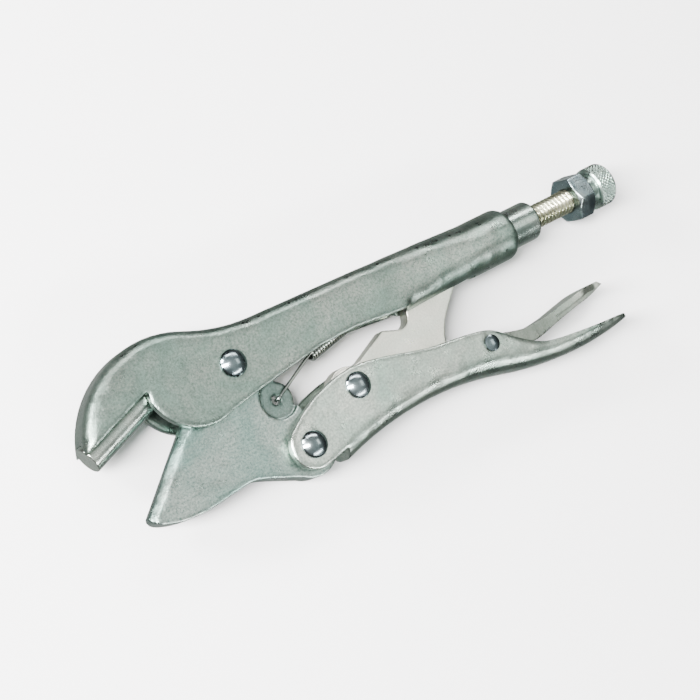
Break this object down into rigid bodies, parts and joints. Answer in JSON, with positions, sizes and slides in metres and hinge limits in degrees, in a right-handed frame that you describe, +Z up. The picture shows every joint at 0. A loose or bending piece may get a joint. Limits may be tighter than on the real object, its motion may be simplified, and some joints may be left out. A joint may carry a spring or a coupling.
{
  "type": "locking pliers",
  "caption": "Pinch-off locking pliers: pressed steel handles, smooth rounded jaws, toggle link, release lever and adjusting screw with lock nut and knurled knob.",
  "frame": {"origin": "the jaw pivot's axis where it meets the bench, at the flat underside of the jaw pivot rivet", "axes": "+X along the adjusting screw towards the knob, +Y towards the back of the fixed handle, +Z up from the bench along the pivots"},
  "size_m": [0.1618, 0.0494, 0.0144],
  "materials": {
    "tumbled_plate": "grainy satin nickel plate",
    "smooth_plate": "smooth satin nickel plate",
    "dull_plate": "dull satin nickel plate",
    "screw_plate": "bright cut thread, slightly warm",
    "spring_wire": "drawn wire",
    "polished_rivet": "polished dome"
  },
  "bodies": {
    "frame_body": {"fixed_handle": "tumbled_plate", "pinch_bar": "smooth_plate", "threaded_bush": "smooth_plate", "jaw_pivot_rivet": "polished_rivet", "tension_spring": "spring_wire"},
    "jaw_body": {"lower_jaw": "tumbled_plate"},
    "handle_body": {"lower_handle": "tumbled_plate", "handle_pivot_rivet": "polished_rivet", "link_rivet": "polished_rivet", "release_rivet": "polished_rivet"},
    "link_body": {"toggle_link": "tumbled_plate"},
    "release_body": {"release_lever": "dull_plate"},
    "screw_body": {"adjusting_screw": "screw_plate"},
    "knob_body": {"screw_knob": "smooth_plate"},
    "nut_body": {"lock_nut": "smooth_plate"}
  },
  "joints": [
    {"name": "jaw_swing", "type": "hinge", "parent": "frame_body", "child": "jaw_body", "pos_m": [0, 0, 0.0068], "axis": [0, 0, 1], "range_deg": [0, 9], "deforming": ["tension_spring"]},
    {"name": "handle_open", "type": "hinge", "parent": "jaw_body", "child": "handle_body", "pos_m": [0.0086, -0.0245, 0.0068], "axis": [0, 0, -1], "range_deg": [0, 45]},
    {"name": "link_fold", "type": "hinge", "parent": "handle_body", "child": "link_body", "pos_m": [0.0256, -0.0174, 0.0068], "axis": [0, 0, 1], "range_deg": [0, 52]},
    {"name": "release_press", "type": "hinge", "parent": "handle_body", "child": "release_body", "pos_m": [0.0639, -0.0237, 0.0068], "axis": [0, 0, -1], "range_deg": [0, 6]},
    {"name": "screw_travel", "type": "slide", "parent": "frame_body", "child": "screw_body", "axis": [1, 0, 0], "range_m": [0, 0.00889]},
    {"name": "knob_turn", "type": "hinge", "parent": "screw_body", "child": "knob_body", "pos_m": [0.12, -0.001, 0.0068], "axis": [1, 0, 0], "range_deg": [0, 2524]},
    {"name": "nut_travel", "type": "slide", "parent": "screw_body", "child": "nut_body", "axis": [1, 0, 0], "range_m": [-0.013, 0]}
  ],
  "couplings": [
    {"joint": "jaw_swing", "follows": "handle_open", "ratio": 0.1955},
    {"joint": "link_fold", "follows": "handle_open", "ratio": 1.145},
    {"joint": "knob_turn", "follows": "screw_travel", "rad_per_m": 4947.4}
  ]
}
